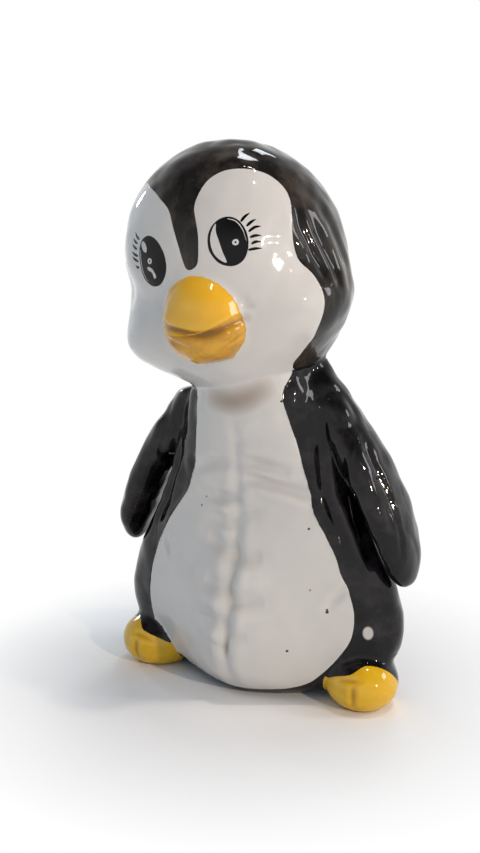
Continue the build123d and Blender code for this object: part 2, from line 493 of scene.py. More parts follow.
def inside(outline: np.ndarray, across: np.ndarray, up: np.ndarray) -> np.ndarray:
    """Tells which places lie inside a flat closed outline.

    Args:
        outline: The outline's points, one row each.
        across: The places' first coordinates.
        up: Their second coordinates.

    Returns:
        True where a place is inside.
    """
    held = np.zeros(len(across), bool)
    for (start_across, start_up), (end_across, end_up) in zip(outline, np.roll(outline, -1, axis=0)):
        if start_up != end_up:
            crosses = (start_up > up) != (end_up > up)
            share = (up - start_up) / (end_up - start_up)
            held ^= crosses & (across < start_across + share * (end_across - start_across))
    return held


def out_of(node: bpy.types.Node, name: str) -> bpy.types.NodeSocket:
    """Finds a node's output that is in use, by its name."""
    return next(socket for socket in node.outputs if socket.name == name and socket.enabled)


def add_node(
    tree: bpy.types.NodeTree, kind: str, links: dict[str | int, object] | None = None, **settings: object
) -> bpy.types.Node:
    """Adds one shader node with its settings and links.

    Args:
        tree: The material's node tree.
        kind: The node's type name.
        links: Inputs, by name or by number where names repeat, with the sockets or values that feed them.
        **settings: The node's own settings.

    Returns:
        The new node.
    """
    node = tree.nodes.new(kind)
    for name, value in settings.items():
        setattr(node, name, value)
    for key, value in (links or {}).items():
        if isinstance(key, int):
            entry = node.inputs[key]
        else:
            entry = next(socket for socket in node.inputs if socket.name == key and socket.enabled)
        if isinstance(value, bpy.types.NodeSocket):
            tree.links.new(value, entry)
        else:
            entry.default_value = value
    return node


def linear(colour: str) -> tuple[float, float, float, float]:
    """Turns an sRGB colour to linear light.

    Args:
        colour: The colour as six hex digits.

    Returns:
        Red, green and blue, and an alpha of 1.
    """
    digits = colour.lstrip("#")
    channels = [int(digits[start : start + 2], 16) / 255 for start in (0, 2, 4)]
    light = [
        channel / 12.92 if channel <= 0.04045 else ((channel + 0.055) / 1.055) ** 2.4 for channel in channels
    ]
    return (*light, 1.0)


@dataclass(frozen=True)
class Flaw:
    """One small spot of another colour on the glaze, such as a grain of grit, in millimetres.

    The squeeze says which ways its distance counts, so that a spot can lie on the front wherever that is.
    """

    place: tuple[float, float, float]
    radius: float
    colour: str
    squeeze: tuple[float, float, float] = (1.0, 0.0, 1.0)


@dataclass(frozen=True)
class Glaze:
    """A fired glaze: coloured glass over clay, pooling dark in the hollows and running thinner on the ridges.

    The relief that it pools by is the skin's own, in millimetres, with hollows below zero. On the black
    glazes the lighter colour of the patches and ridges is painted reflection of the room, on the head
    together with glaze running thinner.
    """

    name: str
    body: str
    pooled_and_shade: str
    thin: str
    speck: str
    roughness: float = 0.06
    ior: float = 1.5
    mottle: float = 0.25
    mottle_mm: float = 16.0
    mottle_from: float = 0.45
    mottle_to: float = 0.75
    mottle_detail: float = 4.0
    mottle_roughness: float = 0.6
    stretch: float = 1.0
    ripple_mm: float = 9.0
    ripple_height_mm: float = 0.10
    ripple_detail: float = 1.5
    speck_spacing_mm: float = 9.0
    speck_radius_mm: float = 0.3
    speck_edge: float = 1.2
    flaw_edge: float = 0.15
    ridge: tuple[float, float] = (0.05, 0.7)
    hollow: tuple[float, float] = (-0.15, -0.9)
    flaws: tuple[Flaw, ...] = ()

    def layer(
        self,
        tree: bpy.types.NodeTree,
        under: object,
        over: str,
        value: bpy.types.NodeSocket,
        span: tuple[float, float],
        most: float = 1.0,
    ) -> bpy.types.NodeSocket:
        """Lays a second colour over the first, where a value passes through a span.

        Args:
            tree: The material's node tree.
            under: The first colour or its socket.
            over: The second colour.
            value: The value's socket.
            span: The values at which the second colour starts, and is full.
            most: How much the second colour covers where it is full.

        Returns:
            The socket of both colours together.
        """
        start, end = span
        share = add_node(
            tree,
            "ShaderNodeMapRange",
            {"Value": value, "From Min": start, "From Max": end, "To Max": most},
            clamp=True,
        )
        both = add_node(
            tree,
            "ShaderNodeMix",
            {"Factor": out_of(share, "Result"), "A": under, "B": linear(over)},
            data_type="RGBA",
        )
        return out_of(both, "Result")

    def spot(
        self, tree: bpy.types.NodeTree, under: object, flaw: Flaw, place: bpy.types.NodeSocket
    ) -> bpy.types.NodeSocket:
        """Lays one flaw over the glaze.

        Args:
            tree: The material's node tree.
            under: The glaze's colour so far.
            flaw: The flaw.
            place: The place on the piece, in metres.

        Returns:
            The socket of both colours together.
        """
        centred = add_node(
            tree,
            "ShaderNodeMapping",
            {
                "Vector": place,
                "Location": tuple(-middle * share * MM for middle, share in zip(flaw.place, flaw.squeeze)),
                "Scale": flaw.squeeze,
            },
        )
        away = add_node(
            tree, "ShaderNodeVectorMath", {"Vector": out_of(centred, "Vector")}, operation="LENGTH"
        )
        span = ((1 + self.flaw_edge) * flaw.radius * MM, (1 - self.flaw_edge) * flaw.radius * MM)
        return self.layer(tree, under, flaw.colour, out_of(away, "Value"), span)

    def material(self) -> bpy.types.Material:
        """Builds the glaze's shader.

        Returns:
            The material.
        """
        material = bpy.data.materials.new(self.name)
        material.use_nodes = True
        tree = material.node_tree
        tree.nodes.clear()
        place = out_of(add_node(tree, "ShaderNodeTexCoord"), "Object")
        relief = out_of(add_node(tree, "ShaderNodeAttribute", attribute_name="relief"), "Fac")
        # Lighter patches drawn out downwards where the brush was; on the black glazes they are mostly painted
        # reflection of the room
        drawn_out = add_node(tree, "ShaderNodeMapping", {"Vector": place, "Scale": (1, 1, 1 / self.stretch)})
        mottle = add_node(
            tree,
            "ShaderNodeTexNoise",
            {
                "Vector": out_of(drawn_out, "Vector"),
                "Scale": 1 / (self.mottle_mm * MM),
                "Detail": self.mottle_detail,
                "Roughness": self.mottle_roughness,
            },
        )
        patches = (self.mottle_from, self.mottle_to)
        colour = self.layer(tree, linear(self.body), self.thin, out_of(mottle, "Fac"), patches, self.mottle)
        colour = self.layer(tree, colour, self.thin, relief, self.ridge)
        colour = self.layer(tree, colour, self.pooled_and_shade, relief, self.hollow)
        # Pinholes, drawn a little larger than they are so that they show; on the black body glaze these pale
        # specks are painted tiny highlights as well
        speck = add_node(
            tree, "ShaderNodeTexVoronoi", {"Vector": place, "Scale": 1 / (self.speck_spacing_mm * MM)}
        )
        rim = self.speck_radius_mm / self.speck_spacing_mm
        colour = self.layer(tree, colour, self.speck, out_of(speck, "Distance"), (rim * self.speck_edge, rim))
        for flaw in self.flaws:
            colour = self.spot(tree, colour, flaw, place)
        # The surface's own unevenness, which makes the highlights wander
        ripple = add_node(
            tree,
            "ShaderNodeTexNoise",
            {"Vector": place, "Scale": 1 / (self.ripple_mm * MM), "Detail": self.ripple_detail},
        )
        bump = add_node(
            tree,
            "ShaderNodeBump",
            {"Height": out_of(ripple, "Fac"), "Distance": self.ripple_height_mm * MM, "Strength": 1.0},
        )
        shader = add_node(
            tree,
            "ShaderNodeBsdfPrincipled",
            {
                "Base Color": colour,
                "Normal": out_of(bump, "Normal"),
                "Roughness": self.roughness,
                "IOR": self.ior,
            },
        )
        add_node(tree, "ShaderNodeOutputMaterial", {"Surface": out_of(shader, "BSDF")})
        return material


GRIT = "#3A3028"
PALE_GRIT = "#8A8078"
PALE_SPOT = "#CFCBC6"
# Glossy black glaze over moulded folds: a wet, near-black surface. Its faint lighter grey-purple patches
# and ridges are painted reflection of the room, and its pale specks are pinholes and painted tiny
# highlights. It has small wandering highlights and one small pale oval spot low on the flank
BLACK_GLAZE = Glaze(
    "black_gloss_glaze", "#0B090A", "#030303", "#2D292D", "#6A6258",
    roughness=0.05, ior=1.36, mottle=0.9, mottle_mm=10.0, mottle_from=0.46, mottle_to=0.72,
    ripple_mm=4.5, ripple_height_mm=0.15, speck_spacing_mm=17.0, speck_radius_mm=0.35,
    flaws=(Flaw((54.1, -5.2, 33.6), 2.1, PALE_SPOT, (1, 1, 0.75)),),
)
# The same glaze brushed thinly over the crown, with brown-grey streaks down the head: partly warm brown
# showing through it, and partly painted reflection of the room
HEAD_GLAZE = Glaze(
    "brown_black_glaze_with_painted_sheen", "#171311", "#050404", "#51483F", "#2A2420",
    ior=1.38, mottle=0.9, mottle_mm=13.0, mottle_to=0.7, stretch=2.6,
)
# Poured white glaze: an even warm grey-white with clean gloss, brownish where it pools in the seam, the
# same brown laid broadly under the chin as painted shade, and a few dark grains of grit on the belly
WHITE_GLAZE = Glaze(
    "white_gloss_glaze", "#D9D5D0", "#A08F80", "#E2DFDB", "#6A5A4C",
    roughness=0.07, mottle=0.4, ripple_height_mm=0.05, speck_spacing_mm=31.0, speck_radius_mm=0.4,
    flaws=(
        Flaw((38.6, 0, 42.0), 0.65, GRIT),
        Flaw((38.5, 0, 42.9), 0.45, GRIT),
        Flaw((24.2, 0, 24.8), 0.55, GRIT),
        Flaw((30.0, 0, 76.0), 0.5, GRIT),
        Flaw((19.0, 0, 128.0), 0.5, GRIT),
        Flaw((-17.5, 0, 80.0), 0.45, GRIT),
        Flaw((32.0, 0, 51.0), 0.4, PALE_GRIT),
    ),
)
# Thick egg-yolk yellow glaze on the upper bill, which looks like soft toffee along the mouth
BILL_GLAZE = Glaze("yellow_bill_glaze", "#EEB32A", "#8C5A0C", "#EEBF3A", "#8A5208", mottle=0.6, mottle_mm=9.0)
# The lower bill's yellow, painted a darker ochre as the shade under the upper bill, with brighter flecks
# where the glaze runs thinner
SHADED_UNDERBILL_GLAZE = Glaze(
    "ochre_shaded_bill_glaze", "#C08718", "#80520C", "#E0A628", "#8A5208",
    mottle=1.0, mottle_mm=8.0, mottle_from=0.4, mottle_to=0.62,
)
# Lemon-yellow glaze on the toes, greener and flatter than the bill's, brown in the folds
TOE_GLAZE = Glaze("yellow_toe_glaze", "#E4B012", "#8A5A0A", "#EDC736", "#8A5A0A", mottle=0.6, mottle_mm=9.0)
# Brushed black underglaze of the eyes: flat, deep black that keeps crisp edges under the clear coat
BLACK_PAINT = Glaze("black_brushed_underglaze", "#060505", "#040303", "#12100F", "#2A2420", ior=1.3)
# Brushed white underglaze of the eyes: a touch brighter and cooler than the face round it. It also lays
# the far eye's two small painted reflections of a window
WHITE_PAINT = Glaze("white_underglaze_and_painted_reflections", "#D6D3D1", "#C8C4C0", "#E2DFDC", "#C8C4C0")


@dataclass(frozen=True)
class Crease:
    """One mark modelled in the clay, along a path laid on the surface.

    A positive depth presses in and a negative one raises. The pooling weight is how deep the mark looks
    to the glaze, which pools there; under the chin it lays painted shade.
    """

    path: Path
    width: float
    depth: float
    pooling_and_shade: float = 1.0
    taper: float = 0.6


@dataclass
class Creases:
    """All the marks that are seen from one side of the figure.

    A mark is a soft trench along its path, with a low lip on both sides that is a share of its depth
    and stands some widths away. It fades out towards its ends.
    """

    place: Matrix
    marks: tuple[Crease, ...]
    lip_share: float = 0.30
    lip_widths: float = 2.0
    reach_widths: float = 4.0
    end_share: float = 0.02

    def laid(self, crease: Crease, skin: BVHTree) -> np.ndarray:
        """Lays one path on the skin.

        Args:
            crease: The mark.
            skin: The skin's faces.

        Returns:
            Points on the skin, in millimetres.
        """
        away = -(self.place.to_3x3() @ Vector((0, 0, 1)))
        found = []
        for across, up in smooth_path(crease.path, steps=8):
            start = self.place @ Vector((across * MM, up * MM, REACH * MM))
            hit = skin.ray_cast(start, away)[0]
            if hit is not None:
                found.append(np.array(hit) / MM)
        return np.array(found)

    def press(self, points: np.ndarray, skin: BVHTree) -> tuple[np.ndarray, np.ndarray]:
        """Works out what the marks do to the skin's points.

        Args:
            points: The skin's points, in millimetres.
            skin: The skin's faces.

        Returns:
            How far each point moves outwards, and how deep it looks to the glaze, in millimetres.
        """
        height = np.zeros(len(points))
        relief = np.zeros(len(points))
        for crease in self.marks:
            path = self.laid(crease, skin)
            if len(path) < 2:
                continue
            margin = self.reach_widths * crease.width
            near = np.all((points > path.min(0) - margin) & (points < path.max(0) + margin), axis=1)
            spots = points[near]
            gaps = np.full(len(spots), np.inf)
            share = np.zeros(len(spots))
            for count, (start, end) in enumerate(zip(path, path[1:])):
                run = end - start
                along = np.clip((spots - start) @ run / max(run @ run, LEAST_RUN), 0, 1)
                gap = np.linalg.norm(spots - start - along[:, None] * run, axis=1)
                closer = gap < gaps
                gaps[closer] = gap[closer]
                share[closer] = (count + along[closer]) / (len(path) - 1)
            fade = np.sin(np.clip(share, self.end_share, 1 - self.end_share) * math.pi) ** crease.taper
            widths = gaps / crease.width
            pit = np.exp(-(widths**2)) * fade * crease.depth
            lip = np.exp(-((widths - self.lip_widths) ** 2)) * fade * crease.depth * self.lip_share
            height[near] += lip - pit
            relief[near] += crease.pooling_and_shade * (lip - pit)
        return height, relief


# Seam, puckers and cross folds of the belly, and the painted shade under the chin
BELLY_MARKS = (
    Crease(((0, 119), (0, 109), (-0.2, 95), (-0.5, 84)), 2.2, 0.7, 0.12),
    Crease(
        (
            (-0.4, 90), (0.3, 75), (0.6, 67), (0.9, 58), (0.3, 49), (1.5, 43), (0.9, 33), (0.2, 25),
            (-0.2, 18), (0, 6),
        ),
        2.7, 1.9, 0.18, 0.4,
    ),
    Crease(((0.9, 30), (0.4, 25), (0, 20)), 1.3, 0.6, 0.8),
    Crease(((-12, 86.8), (-6, 86), (-0.5, 84.5)), 2.8, 1.1, 0.1),
    Crease(((-13, 76.4), (-6, 75.4), (-0.5, 73.8)), 3.0, 1.3, 0.1),
    Crease(((-14, 67.6), (-7, 67), (-0.5, 65.5)), 3.2, 1.9, 0.1),
    Crease(((-13, 51.4), (-6, 50.4), (-0.5, 49)), 3.0, 1.4, 0.1),
    Crease(((-14, 37.6), (-6, 36.2), (0.5, 35)), 3.3, 2.0, 0.1),
    Crease(((-7, 25.5), (-3, 24.5), (-0.5, 23.5)), 1.8, 0.9, 0.3),
    Crease(((0.5, 111), (3, 111), (6.5, 111.5)), 1.6, 0.6, 0.1),
    Crease(((-0.5, 81), (4, 81), (10, 82)), 2.8, 1.0, 0.1),
    Crease(((0.5, 62), (5, 62.6), (13, 63.6)), 3.1, 1.6, 0.1),
    Crease(((0.5, 44), (7, 44.5), (16, 45.6)), 3.2, 1.8, 0.1),
    Crease(((0.5, 29), (5, 29.3), (10, 30.2)), 2.8, 1.1, 0.1),
    Crease(((1.4, 102.6), (8.4, 102), (14.6, 100.6), (23.5, 97.4)), 2.2, 2.2, 0.12),
    Crease(((2, 95), (11, 94.6), (20.5, 92.4), (31, 89.2)), 2.4, 2.5, 0.12),
    Crease(((-22, 96), (-12, 99), (-2, 101)), 2.3, 1.7, 0.12),
    Crease(((-22, 86.4), (-10.7, 85), (-1.4, 86)), 2.3, 1.5, 0.12),
    Crease(((-7.5, 72), (-4.5, 70.5), (-3, 69.5)), 4.0, -0.4, 0.0, 0.3),
    Crease(((-8, 60), (-4.5, 58.5), (-3, 57)), 4.6, -0.5, 0.0, 0.3),
    Crease(((-8.5, 44.5), (-5, 43), (-3, 42)), 4.6, -0.5, 0.0, 0.3),
    Crease(((-7, 31.5), (-4, 30.5), (-2, 29.5)), 4.0, -0.3, 0.0, 0.3),
    Crease(((-7, 81.5), (-4.5, 80.5), (-3, 79.5)), 3.6, -0.3, 0.0, 0.3),
    Crease(((4, 53.5), (6, 53.5), (9, 53.5)), 4.8, -0.4, 0.0, 0.3),
    Crease(((4, 71.5), (6, 71.5), (8, 71.5)), 4.4, -0.3, 0.0, 0.3),
    Crease(((4, 36.5), (6, 36.5), (8, 36.5)), 4.4, -0.3, 0.0, 0.3),
    Crease(((-39.5, 61), (-38, 57.5), (-36, 54)), 1.7, 1.0, 0.1),
    Crease(((38, 43.6), (42, 48.5), (46, 52.4)), 1.7, 1.0, 0.1),
    # Painted shade under the chin: a shallow fold that lays the white glaze's brown broadly over the throat
    Crease(((-14, 127.5), (-7, 126.8), (1, 127), (9, 130.5), (17, 135.5)), 6.0, 0.35, 2.3, 0.5),
)
# Long folds between belly and wing, and down the wing
FLANK_MARKS = (
    Crease(((26.8, 117), (28, 100), (29.6, 89), (33.3, 80), (37.4, 70), (41.1, 60)), 1.7, -1.0, 0.5),
    Crease(((31.5, 116), (32.6, 104), (35.2, 92), (38.6, 80), (42.5, 68), (45.5, 58)), 1.9, 1.1, 0.4),
    Crease(((22.5, 112), (23.5, 101), (25.5, 91), (29.5, 80), (34, 68)), 1.7, 0.7, 0.4),
    Crease(((40, 112), (45, 103), (51, 90), (55, 77), (56.5, 66)), 1.1, 0.6, 0.4),
    Crease(((38, 118), (43, 108), (47, 97), (51, 84), (52, 72)), 2.2, 0.8, 0.3),
)
# Strands modelled on the side of the head
HEAD_SIDE_MARKS = (
    Crease(((11.7, 208.5), (15, 196.5), (20.8, 184.5), (27.2, 173)), 2.2, 1.1, 0.7),
    Crease(((17, 203.5), (23, 190.5), (28.3, 180), (30, 172.5)), 2.2, 1.1, 0.7),
    Crease(((22, 205), (28, 193), (33, 181), (34.5, 170)), 2.4, 0.6, 0.4),
)
# Mouth line, folds of the bill and dimples of the cheek
FACE_MARKS = (
    Crease(
        ((-15.5, 30.2), (-13, 28.6), (-5.8, 25.4), (0.1, 23.0), (5.5, 22.4), (10, 23.0), (15.5, 24.6)),
        1.5, 1.6, 0.6, 0.25,
    ),
    Crease(((-15, 25.5), (-13.6, 24.3), (-7.6, 20.3), (-2, 16.8)), 1.1, 0.5, 0.5),
    Crease(((9, 16.6), (11, 17.4), (14, 19)), 1.0, 0.5, 0.5),
    Crease(((28, 50.4), (32, 49.4), (37, 47)), 1.8, 0.3, 0.1),
    Crease(((30.5, 57.4), (33, 57), (36, 56.4)), 1.8, 0.2, 0.1),
    Crease(((16.5, 31.5), (18, 29.6), (20.5, 28.8)), 1.6, 0.8, 0.1),
    Crease(((35.5, 47), (37, 43.5), (39.5, 40)), 2.4, 0.9, 0.1),
)
# Broad hollows of the far brow and under the far eye, which let its cheek puff out
FACE_HOLLOWS = (
    Crease(((-49, 50), (-43, 48), (-38, 46), (-30, 42), (-19, 39)), 7.0, 2.2, 0.0, 0.25),
    Crease(((-37, 78), (-39, 70), (-40, 61), (-40, 52), (-40.5, 44), (-42, 37)), 10.0, 1.9, 0.0, 0.4),
)
# Folds that part the toes
TOE_MARKS = (
    Crease(((30.5, 13), (35, 15), (40.5, 15.8)), 1.1, 0.6, 0.8),
    Crease(((37, 14.5), (37.3, 9), (37.5, 2.5)), 1.2, 0.8, 0.8),
)


def mirrored(marks: Sequence[Crease]) -> tuple[Crease, ...]:
    """The same marks on the figure's other side."""
    return tuple(replace(mark, path=tuple((-across, up) for across, up in mark.path)) for mark in marks)


@dataclass
class Skin:
    """The whole figure's glazed surface, as one smooth solid from which every piece is cut.

    The crumple fields say how strongly the black fields wrinkle: most on the flanks beside the belly,
    less on the wings and head, on the back and near the feet, and not at all on the white ones.
    """

    voxel_mm: float = 0.9
    smooth_steps: int = 26
    plug_radius_mm: float = 12.0
    plug_depth_mm: float = 6.0
    plug_corners: int = 48
    flat_base_mm: float = 0.9
    base_rise_mm: float = 3.0
    quarter_azimuth: float = 28.0
    sway_mm: float = 0.22
    sway_waves: tuple[tuple[float, ...], ...] = (
        (31, 23, 27, 0.4), (19, -25, 21, 1.9), (-27, 17, 15, 3.1), (13, 14, -18, 5.2)
    )
    crumple_mm: float = 0.34
    crumple_waves: int = 22
    crumple_seed: int = 11
    fold_lengths: tuple[float, float] = (13.0, 30.0)
    fine_lengths: tuple[float, float] = (6.5, 12.0)
    upright_squeeze: float = 0.7
    fine_share: float = 0.22
    fold_round: float = 0.03
    fold_level: float = 0.8
    head_crumple: float = 0.45
    flank_crumple: float = 1.35
    flank_half_width: float = 46.0
    wing_crumple: float = 0.7
    foot_crumple: float = 0.3
    foot_height: float = 22.0
    back_crumple: float = 0.55
    back_depth: float = -8.0
    nodes: tuple[str, ...] = ("torso", "belly_panel", "head", "face_panel", "upper_bill", "lower_bill")
    sided: tuple[str, ...] = ("wing", "leg", "toe_cap", "eye_white", "iris", "glint", "lashes")

    def sides_of(self) -> tuple[Creases, ...]:
        """Gathers the marks by the side that they are seen from.

        Returns:
            The marks, side by side.
        """
        quarter = STANCE.body_frame(self.quarter_azimuth)
        other = STANCE.body_frame(-self.quarter_azimuth)
        return (
            Creases(STANCE.body_frame(), BELLY_MARKS),
            Creases(quarter, FLANK_MARKS + HEAD_SIDE_MARKS + TOE_MARKS),
            Creases(other, mirrored(FLANK_MARKS + TOE_MARKS)),
            Creases(STANCE.face_frame(), FACE_MARKS),
            Creases(STANCE.face_frame(), FACE_HOLLOWS, lip_share=0.0),
        )

    def sway(self, points: np.ndarray) -> np.ndarray:
        """A faint unevenness of the cast clay.

        Args:
            points: Places on the skin, in millimetres.

        Returns:
            How far each point moves outwards, in millimetres.
        """
        total = np.zeros(len(points))
        for across, deep, up, phase in self.sway_waves:
            total += np.sin(points @ (2 * math.pi / np.array([across, deep, up])) + phase)
        return total * self.sway_mm / len(self.sway_waves)

    def wrinkles(
        self, dice: np.random.Generator, points: np.ndarray, lengths: tuple[float, float], squeeze: float
    ) -> np.ndarray:
        """Adds up waves that run in all directions.

        Args:
            dice: Where the waves' directions and lengths come from.
            points: Places on the skin, in millimetres.
            lengths: The shortest and the longest wave, in millimetres.
            squeeze: Below 1, how much less the waves run up than across.

        Returns:
            The waves' height at each point, which strays from zero by about 1.
        """
        total = np.zeros(len(points))
        for _ in range(self.crumple_waves):
            way = dice.normal(size=3) * (1, 1, squeeze)
            way *= 2 * math.pi / dice.uniform(*lengths) / np.linalg.norm(way)
            total += np.sin(points @ way + dice.uniform(0, 2 * math.pi))
        return total / math.sqrt(self.crumple_waves / 2)

    def crumple(self, points: np.ndarray) -> np.ndarray:
        """Small wrinkles of the modelled cloth, all over the black fields.

        Args:
            points: Places on the skin, in millimetres.

        Returns:
            How far each point moves outwards, in millimetres.
        """
        dice = np.random.default_rng(self.crumple_seed)
        broad = self.wrinkles(dice, points, self.fold_lengths, self.upright_squeeze)
        fine = self.wrinkles(dice, points, self.fine_lengths, 1.0)
        folds = np.sqrt(broad**2 + self.fold_round) - self.fold_level + self.fine_share * fine
        face_across, face_up, face_out = seen_in(points, STANCE.face_frame())
        body_across, body_up, body_out = seen_in(points, STANCE.body_frame())
        on_head = face_up > 0
        face_edge = smooth_path(NEAR_FACE_EDGE + FAR_FACE_EDGE, steps=4, closed=True)
        belly_edge = smooth_path(BELLY_EDGE, steps=4, closed=True)
        white = inside(face_edge, face_across, face_up) & (face_out > 0) & on_head
        white |= inside(belly_edge, body_across, body_up) & (body_out > 0) & ~on_head
        on_flank = np.abs(points[:, 0]) < self.flank_half_width
        strength = np.where(on_flank, self.flank_crumple, self.wing_crumple)
        strength = np.where(on_head, self.head_crumple, strength)
        strength *= np.where(points[:, 2] < self.foot_height, self.foot_crumple, 1.0)
        strength *= np.where(body_out < self.back_depth, self.back_crumple, 1.0)
        return np.where(white, 0.0, folds * strength * self.crumple_mm)

    def build(self) -> bpy.types.Object:
        """Merges copies of the cast parts, rounds every junction and presses the marks in.

        Returns:
            The closed solid.
        """
        names = list(self.nodes) + [f"{side.word}_{name}" for side in Side for name in self.sided]
        skin = copy_nodes("skin", names)
        deselect_all()
        bpy.ops.mesh.primitive_cylinder_add(
            vertices=self.plug_corners,
            radius=self.plug_radius_mm * MM,
            depth=self.plug_depth_mm * MM,
            location=(0, STANCE.axis_setback * MM, self.plug_depth_mm * MM / 2),
        )
        skin = join("skin", [skin, bpy.context.view_layer.objects.active])
        apply_modifier(skin, "REMESH", mode="VOXEL", voxel_size=self.voxel_mm * MM)
        skin = keep_outer(skin)
        apply_modifier(skin, "SMOOTH", factor=SMOOTHING, iterations=self.smooth_steps)
        points = points_of(skin)
        relief = np.zeros(len(points))
        height = self.sway(points) + self.crumple(points)
        tree = faces_of(skin)
        for side in self.sides_of():
            pressed, pooling_and_shading = side.press(points, tree)
            height += pressed
            relief += pooling_and_shading
        # The base stays flat, and the relief sets in over a few millimetres above it
        height *= np.clip((points[:, 2] - self.flat_base_mm) / self.base_rise_mm, 0, 1)
        place_points(skin, points + normals_of(skin) * height[:, None])
        pooling_and_shade = skin.data.attributes.new("relief", "FLOAT", "POINT")
        pooling_and_shade.data.foreach_set("value", relief)
        return skin


# Outline of the white face glaze, across and up the head: the near side from the stripe's foot over
# lobe and cheek down to the throat, and the far side from there back up
NEAR_FACE_EDGE = (
    (0.8, 47.3), (3.4, 48.6), (4.9, 52.3), (6.0, 59.0), (5.7, 65.5), (5.6, 70.3), (7.6, 74.8), (11.4, 79.3),
    (17.0, 81.0), (24.3, 79.6), (30.7, 75.6), (35.6, 69.2), (37.4, 62.3), (37.2, 53.0), (36.6, 45.1),
    (37.4, 40.8), (41.2, 34.2), (43.2, 26.1), (41.2, 19.6), (35.0, 12.4), (27.0, 6.4), (20.6, 0.9),
    (18.5, -10.0),
)
FAR_FACE_EDGE = (
    (-21.0, -10.0), (-22.5, 0.0), (-29.0, 4.0), (-39.0, 10.5), (-46.5, 18.0), (-49.5, 26.0), (-48.5, 34.0),
    (-45.5, 42.0), (-44.0, 50.0), (-42.5, 60.0), (-39.0, 70.0), (-33.0, 78.5), (-27.0, 83.6), (-21.0, 85.2),
    (-16.0, 82.2), (-11.0, 78.0), (-5.6, 71.6), (-3.8, 64.0), (-2.6, 57.0), (-2.0, 51.5), (-1.2, 48.2),
)
# Outline of the white belly glaze, across and up, from the throat down the figure's left and up again
BELLY_EDGE = (
    (18.2, 146.0), (18.8, 131.0), (21.0, 123.0), (23.0, 116.0), (25.3, 108.0), (27.3, 100.0), (28.8, 95.5),
    (29.6, 90.5), (31.2, 84.0), (33.2, 79.0), (36.0, 73.6), (39.0, 68.2), (40.8, 64.0), (42.9, 58.0),
    (45.8, 52.0), (47.9, 45.5), (48.7, 39.0), (47.6, 30.5), (43.4, 23.0), (36.5, 14.5), (28.8, 7.8),
    (18.0, 4.4), (4.0, 3.3), (-10.0, 3.3), (-24.0, 4.2), (-33.5, 7.0), (-40.5, 12.8), (-46.2, 20.5),
    (-48.6, 30.0), (-48.2, 39.0), (-46.3, 49.0), (-42.8, 59.0), (-39.2, 66.0), (-35.4, 72.0), (-30.9, 78.0),
    (-26.0, 84.6), (-23.6, 91.0), (-21.4, 98.5), (-20.8, 107.0), (-20.0, 116.0), (-19.8, 126.0),
    (-20.4, 146.0),
)
# Top edge of the yellow toe glaze, across and up the slope, on the figure's left foot
TOE_EDGE = (
    (-24.0, 6.0), (-16.5, 1.6), (-13.9, -0.7), (-8.2, -3.0), (-1.0, -0.4), (7.3, -2.8), (11.5, -5.0),
    (17.0, -8.0), (24.0, -11.0),
)


